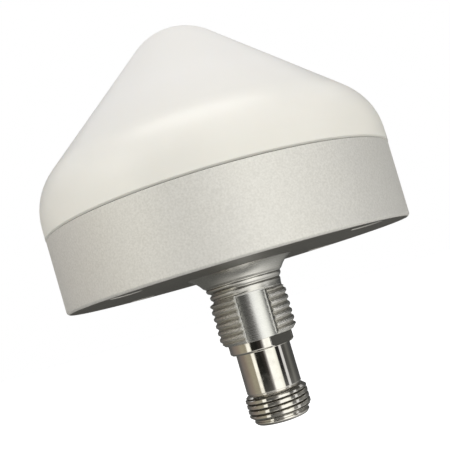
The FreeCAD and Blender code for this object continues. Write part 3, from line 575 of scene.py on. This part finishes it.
def underside_painted_shade():
    """Turned underside with faint lathe rings, coloured dark as painted shade under the antenna."""
    surface = Surface("underside_painted_shade", (0.10, 0.096, 0.082), 0.5, metallic=0.6)
    rings = surface.rings(0.35)
    cloud = surface.noise(5.0)
    # Dark tones, mottled at random: painted shade of the underside, which faces away from the light.
    surface.link(surface.mix(cloud, (0.11, 0.105, 0.094), (0.175, 0.168, 0.15)), "Base Color")
    surface.link(surface.ramp(rings, 0.38, 0.6), "Roughness")
    surface.bump(rings, 0.01, 0.5)
    return surface.material


def turned_flare():
    """Flare turned with a round-nosed tool: soft sheen broken into fine rings."""
    surface = Surface("turned_flare", (0.66, 0.65, 0.62), 0.3, metallic=1.0)
    marks = surface.rings(0.22, along="height")
    cloud = surface.noise(2.5, detail=4.0)
    surface.link(surface.mix(cloud, (0.60, 0.59, 0.56), (0.74, 0.73, 0.70)), "Base Color")
    surface.link(surface.ramp(marks, 0.16, 0.36), "Roughness")
    surface.bump(marks, 0.03, 0.8)
    return surface.material


def thread_metal():
    """Bright thread with the small bruises and burrs that make its crests sparkle."""
    surface = Surface("thread_metal", (0.70, 0.69, 0.66), 0.2, metallic=1.0)
    bruise = surface.noise(0.32, detail=4.0, roughness=0.7)
    cloud = surface.noise(1.5, detail=4.0)
    surface.link(surface.mix(cloud, (0.72, 0.71, 0.68), (0.95, 0.94, 0.91)), "Base Color")
    surface.link(surface.ramp(bruise, 0.08, 0.34), "Roughness")
    surface.bump(bruise, 0.17, 0.9)
    return surface.material


def thread_root_shade(name, tone):
    """The darker, duller root of a thread: painted shade in its groove, mottled at random."""
    surface = Surface(name, tone, 0.45, metallic=1.0)
    root_mottle = surface.noise(0.4, detail=4.0)
    deeper_shade = tuple(part * 0.6 for part in tone)
    surface.link(surface.mix(root_mottle, deeper_shade, tone), "Base Color")
    surface.link(surface.ramp(root_mottle, 0.35, 0.6), "Roughness")
    surface.bump(root_mottle, 0.01, 0.4)
    return surface.material


def brushed_land():
    """Smooth land down the stud, with a soft brushed sheen."""
    surface = Surface("brushed_land", (0.70, 0.70, 0.69), 0.3, metallic=1.0)
    marks = surface.rings(0.08, along="height")
    cloud = surface.noise(1.6, detail=5.0)
    surface.link(surface.mix(cloud, (0.62, 0.62, 0.62), (0.76, 0.76, 0.74)), "Base Color")
    surface.link(surface.ramp(marks, 0.2, 0.34), "Roughness")
    surface.bump(marks, 0.004, 0.5)
    return surface.material


def nickel_plate():
    """Mirror nickel with faint circumferential polish marks and small dulled spots."""
    surface = Surface("nickel_plate", (0.72, 0.70, 0.66), 0.07, metallic=1.0)
    marks = surface.rings(0.1, along="height")
    cloud = surface.contrast(surface.noise(1.8, detail=5.0), 0.45, 0.7)
    surface.link(surface.mix(cloud, (0.74, 0.72, 0.68), (0.66, 0.64, 0.60)), "Base Color")
    surface.link(surface.ramp(cloud, 0.05, 0.16), "Roughness")
    surface.bump(marks, 0.0015, 0.4)
    return surface.material


def plain_metal(name, dark, light, roughness, mark_mm=0.4, relief_mm=0.003):
    """A metal with a cloudy tone, uneven polish and fine marks."""
    surface = Surface(name, light, roughness, metallic=1.0)
    cloud = surface.noise(3.0, detail=4.0)
    marks = surface.noise(mark_mm, detail=4.0, roughness=0.7)
    surface.link(surface.mix(cloud, dark, light), "Base Color")
    surface.link(surface.ramp(marks, roughness * 0.7, roughness * 1.4), "Roughness")
    surface.bump(marks, relief_mm, 0.5)
    return surface.material


def plain_solid(name, dark, light, roughness, grain_mm=0.3, relief_mm=0.004):
    """A non-metal with a fine grain and a slightly uneven sheen."""
    surface = Surface(name, light, roughness)
    cloud = surface.noise(2.0, detail=3.0)
    grain = surface.noise(grain_mm, detail=3.0, roughness=0.6)
    surface.link(surface.mix(cloud, dark, light), "Base Color")
    surface.link(surface.ramp(grain, roughness * 0.85, min(1.0, roughness * 1.2)), "Roughness")
    surface.bump(grain, relief_mm, 0.5)
    return surface.material


def circuit_board():
    """Green solder mask whose tone shows the glass weave below it."""
    surface = Surface("circuit_board", (0.02, 0.10, 0.05), 0.35)
    squares = {"Vector": surface.place, "Scale": 1.0 / (0.5 * MM)}
    weave = surface.node("ShaderNodeTexChecker", squares).outputs["Fac"]
    cloud = surface.noise(4.0)
    tone = surface.mix(surface.ramp(weave, 0.0, 0.3), (0.018, 0.09, 0.045), (0.03, 0.14, 0.07))
    surface.link(surface.mix(surface.ramp(cloud, 0.0, 0.3), tone, (0.04, 0.16, 0.08)), "Base Color")
    surface.link(surface.ramp(cloud, 0.25, 0.42), "Roughness")
    surface.bump(weave, 0.01, 0.3)
    return surface.material


def inner_materials():
    """Materials of the parts that are sealed inside, by the record's material slot."""
    metals = {
        # stainless_steel is darker than bare steel: painted shade on the radome screw heads under the
        # antenna.
        "stainless_steel": ((0.30, 0.29, 0.27), (0.42, 0.41, 0.39), 0.36),
        "insert_brass": ((0.60, 0.42, 0.16), (0.78, 0.58, 0.27), 0.25),
        "gold_plate": ((0.85, 0.58, 0.22), (0.95, 0.71, 0.34), 0.16),
        "silvered_wire": ((0.76, 0.74, 0.70), (0.88, 0.87, 0.84), 0.2),
        "tinned_copper": ((0.62, 0.60, 0.57), (0.76, 0.74, 0.71), 0.3),
        "solder": ((0.60, 0.60, 0.61), (0.74, 0.74, 0.75), 0.22),
        "fired_silver": ((0.74, 0.74, 0.72), (0.86, 0.86, 0.84), 0.38),
        "tinned_steel": ((0.62, 0.63, 0.64), (0.74, 0.75, 0.76), 0.24),
        "filter_lid": ((0.72, 0.56, 0.30), (0.84, 0.68, 0.40), 0.28),
    }
    solids = {
        "seal_rubber": ((0.012, 0.012, 0.012), (0.025, 0.025, 0.025), 0.62),
        "ptfe": ((0.80, 0.80, 0.78), (0.87, 0.87, 0.85), 0.42),
        "adhesive_film": ((0.58, 0.56, 0.48), (0.66, 0.64, 0.56), 0.5),
        "adhesive_foam": ((0.78, 0.78, 0.76), (0.86, 0.86, 0.84), 0.85),
        "patch_ceramic": ((0.50, 0.40, 0.28), (0.62, 0.51, 0.37), 0.55),
        "chip_resin": ((0.012, 0.012, 0.014), (0.022, 0.022, 0.024), 0.48),
        "inductor_ferrite": ((0.02, 0.019, 0.022), (0.04, 0.038, 0.042), 0.5),
        "coupler_laminate": ((0.70, 0.69, 0.64), (0.80, 0.79, 0.74), 0.45),
        "capacitor_ceramic": ((0.26, 0.17, 0.09), (0.38, 0.27, 0.16), 0.4),
        "arrestor_ceramic": ((0.74, 0.73, 0.70), (0.82, 0.81, 0.78), 0.3),
    }
    made = {name: plain_metal(name, *values) for name, values in metals.items()}
    made.update({name: plain_solid(name, *values) for name, values in solids.items()})
    made["circuit_board"] = circuit_board()
    return made


def housing_materials(skirt):
    """The housing's materials, in the order of the numbers that housing_paint gives."""
    by_number = {
        SKIRT: skirt,
        UNDERSIDE_SHADE: underside_painted_shade(),
        FLARE: turned_flare(),
        THREAD: thread_metal(),
        LAND: brushed_land(),
        # The stud's roots: painted shade, a little darker than the thread.
        ROOT_SHADE: thread_root_shade("stud_thread_root", (0.84, 0.82, 0.76)),
    }
    return [by_number[number] for number in sorted(by_number)]


def finish_cad_nodes(materials):
    """Give every CAD node that is still shown the material of its own slot."""
    for entry in frame["record"]["subparts"]:
        node = frame["nodes"][entry["node"]]
        material = materials[entry["material_slot"]]
        for place in range(len(node.data.materials)):
            node.data.materials[place] = material


# ---------------------------------------------------------------- studio


# The floor: a plain square well below the antenna, and its glow on the antenna and to the eye.
FLOOR_SIZE, FLOOR_HEIGHT = 6.0, -0.085
FLOOR_GLOW, FLOOR_SEEN = 0.05, 0.9
# What the eye sees behind the antenna, and the light from all round that matt surfaces get.
BACKDROP = (1.0, 1.0, 1.0)
AMBIENT = (0.253, 0.253, 0.252)
# What mirrors see, by bearing from the camera: soft panels and dark gaps, above and below the eye.
PANELS = (
    (-180, (0.13, 0.13, 0.125)),
    (-135, (0.14, 0.135, 0.13)),
    (-114, (0.24, 0.206, 0.185)),
    (-94, (0.31, 0.26, 0.21)),
    (-77, (0.41, 0.374, 0.28)),
    (-58, (0.41, 0.374, 0.28)),
    (-55, (1.4, 1.38, 1.25)),
    (-43, (1.4, 1.38, 1.25)),
    (-40, (0.025, 0.025, 0.02)),
    (-20, (0.016, 0.016, 0.014)),
    (-4, (0.045, 0.04, 0.035)),
    (3, (0.36, 0.34, 0.33)),
    (8, (1.4, 1.4, 1.34)),
    (34, (1.4, 1.4, 1.3)),
    (46, (1.1, 1.1, 1.0)),
    (49, (0.025, 0.025, 0.025)),
    (64, (0.025, 0.025, 0.025)),
    (66, (0.9, 0.9, 0.9)),
    (76, (0.9, 0.9, 0.9)),
    (78, (0.09, 0.09, 0.085)),
    (92, (0.09, 0.09, 0.085)),
    (104, (0.19, 0.19, 0.175)),
    (128, (0.08, 0.08, 0.08)),
    (180, (0.1, 0.1, 0.1)),
)
FLOOR_PANELS = (
    (-180, (0.11, 0.11, 0.10)),
    (-120, (0.14, 0.14, 0.13)),
    (-60, (0.41, 0.40, 0.37)),
    (-20, (0.71, 0.70, 0.66)),
    (28, (1.47, 1.45, 1.38)),
    (70, (0.99, 0.98, 0.94)),
    (130, (0.45, 0.45, 0.43)),
    (180, (0.13, 0.13, 0.12)),
)
# Straight down, and everything high up.
UNDERFOOT = (0.2, 0.2, 0.19)
SKY = (0.9, 0.9, 0.9)
# A softbox just on the camera's side of straight up, which draws the sheen on the radome's shoulder.
SOFTBOX = (3.7, 3.7, 3.68)
# Where those fade into each other, by the height of a direction (the sine of its elevation), and
# the softbox's edge by how far a direction leans towards the camera.
UNDERFOOT_FADE = (-0.985, -0.9)
EYE_LEVEL_FADE = (-0.35, -0.12)
SKY_FADE = (0.4, 0.6)
SOFTBOX_FADE, SOFTBOX_LEAN = (0.84, 0.9), (-0.04, 0.08)

# Soft lights: name, bearing from the camera and elevation in degrees, and power in watts. All are
# discs of one size, aimed from one distance at a point a little above the underside.
LIGHTS = (
    ("right", 60, 18, 1.95),
    ("front", -10, 10, 0.45),
    ("left", -60, 25, 1.7),
    ("high", 20, 50, 0.4),
)
LIGHT_DISTANCE, LIGHT_SIZE = 0.6, 0.4
LIGHT_TARGET = Vector((0.0, 0.0, 0.015))

# The camera: distance from the axis and height in millimetres, its turn in radians and its lens.
CAMERA_DISTANCE, CAMERA_HEIGHT = 123.9, -4.6
CAMERA_YAW, CAMERA_PITCH, CAMERA_ROLL = 0.0850, 0.1016, -0.2855
CAMERA_LENS, SENSOR_WIDTH = 55.23, 36.0


def make_floor():
    """A plain pale floor, lit evenly to the eye, that barely lights the antenna."""
    bpy.ops.mesh.primitive_plane_add(size=FLOOR_SIZE, location=(0.0, 0.0, FLOOR_HEIGHT))
    floor = bpy.context.object
    floor.name = "floor"
    surface = Surface("floor_paint", (0.8, 0.8, 0.8), 0.9)
    surface.set(Emission_Color=(1.0, 1.0, 1.0, 1.0))
    seen = surface.node("ShaderNodeLightPath").outputs["Is Camera Ray"]
    surface.link(surface.ramp(seen, FLOOR_GLOW, FLOOR_SEEN), "Emission Strength")
    floor.data.materials.append(surface.material)
    floor.visible_glossy = False


class Surroundings(NodeTree):
    """The world's node tree, with directions turned so that +X points towards the camera."""

    def __init__(self, world):
        super().__init__(world)
        direction = self.node("ShaderNodeTexCoord").outputs["Generated"]
        turn = {"Vector": direction, "Rotation": (0.0, 0.0, math.radians(-CAMERA_BEARING))}
        turned = self.node("ShaderNodeMapping", turn, vector_type="VECTOR").outputs[0]
        self.parts = self.node("ShaderNodeSeparateXYZ", {"Vector": turned}).outputs
        bearing = self.math("ARCTAN2", self.parts["Y"], self.parts["X"])
        self.turn_share = self.math("MULTIPLY_ADD", bearing, 0.5 / math.pi, 0.5)

    def panel_ring(self, stops):
        """A ring of colours, each given at its bearing in degrees from -180 to 180."""
        ring = self.node("ShaderNodeValToRGB", {0: self.turn_share})
        while len(ring.color_ramp.elements) < len(stops):
            ring.color_ramp.elements.new(0.5)
        for element, (bearing, color) in zip(ring.color_ramp.elements, stops):
            element.position = (bearing + 180.0) / 360.0
            element.color = (*color, 1.0)
        return ring.outputs["Color"]

    def fade(self, axis, start, end):
        """0 where a direction's part along an axis is below start, and 1 where it is above end."""
        return self.contrast(self.parts[axis], start, end)

    def mirrored(self):
        """What mirrors see: panels and gaps all round, the sky with a softbox, and the floor."""
        level = self.fade("Z", *EYE_LEVEL_FADE)
        around = self.mix(level, self.panel_ring(FLOOR_PANELS), self.panel_ring(PANELS))
        around = self.mix(self.fade("Z", *UNDERFOOT_FADE), UNDERFOOT, around)
        above = self.mix(self.fade("Z", *SKY_FADE), around, SKY)
        overhead = self.math("MULTIPLY", self.fade("Z", *SOFTBOX_FADE), self.fade("X", *SOFTBOX_LEAN))
        return self.mix(overhead, above, SOFTBOX)


def make_world():
    """White to the eye, even to matt surfaces, and panels and gaps to reflections."""
    world = bpy.data.worlds.new("studio")
    bpy.context.scene.world = world
    around = Surroundings(world)
    path = around.node("ShaderNodeLightPath").outputs
    reflected = around.mix(path["Is Glossy Ray"], AMBIENT, around.mirrored())
    shown = around.mix(path["Is Camera Ray"], reflected, BACKDROP)
    around.tree.links.new(shown, around.tree.nodes["Background"].inputs["Color"])


def add_light(name, bearing, elevation, power):
    """A soft area light aimed at the antenna. Mirrors don't show it: they see the world's panels."""
    light = bpy.data.lights.new(name, "AREA")
    light.shape = "DISK"
    light.size = LIGHT_SIZE
    light.energy = power
    lamp = bpy.data.objects.new(name, light)
    turn, lift = math.radians(bearing + CAMERA_BEARING), math.radians(elevation)
    out = Vector((math.cos(turn) * math.cos(lift), math.sin(turn) * math.cos(lift), math.sin(lift)))
    lamp.location = out * LIGHT_DISTANCE + LIGHT_TARGET
    lamp.rotation_mode = "QUATERNION"
    lamp.rotation_quaternion = out.to_track_quat("Z", "Y")
    lamp.visible_camera = False
    lamp.visible_glossy = False
    bpy.context.scene.collection.objects.link(lamp)


def make_lights():
    """The soft lights round the antenna."""
    for settings in LIGHTS:
        add_light(*settings)


def make_camera():
    """The camera close below the antenna, rolled so that the antenna leans to the left."""
    bearing, yaw, pitch, roll = math.radians(CAMERA_BEARING), CAMERA_YAW, CAMERA_PITCH, CAMERA_ROLL
    forward = Vector(
        (math.sin(yaw) * math.cos(pitch), math.cos(yaw) * math.cos(pitch), math.sin(pitch))
    )
    right = Vector((math.cos(yaw), -math.sin(yaw), 0.0))
    up = right.cross(forward)
    across = right * math.cos(roll) + up * math.sin(roll)
    upward = up * math.cos(roll) - right * math.sin(roll)
    data = bpy.data.cameras.new("camera")
    data.sensor_width = SENSOR_WIDTH
    data.lens = CAMERA_LENS
    data.clip_start, data.clip_end = 0.01, 20.0
    camera = bpy.data.objects.new("camera", data)
    out = Vector((math.cos(bearing), math.sin(bearing), 0.0)) * CAMERA_DISTANCE
    place = (out + Vector((0.0, 0.0, CAMERA_HEIGHT))) * MM
    turn = Matrix((across, upward, -forward)).transposed()
    camera.matrix_world = Matrix.Translation(place) @ turn.to_4x4()
    bpy.context.scene.collection.objects.link(camera)
    bpy.context.scene.camera = camera


# ---------------------------------------------------------------- build


materials = inner_materials()
materials["radome_plastic"] = radome_plastic()
materials["blasted_aluminium"] = blasted_aluminium()
materials["nickel_plate"] = nickel_plate()
finish_cad_nodes(materials)
make_housing(housing_materials(materials["blasted_aluminium"]))
# The jack's thread roots get a dark nickel: painted shade in the grooves.
make_jack([materials["nickel_plate"], thread_root_shade("jack_thread_root", (0.27, 0.26, 0.23))])
make_floor()
make_world()
make_lights()
make_camera()
bpy.context.scene.view_settings.view_transform = "Standard"

bpy.context.view_layer.update()
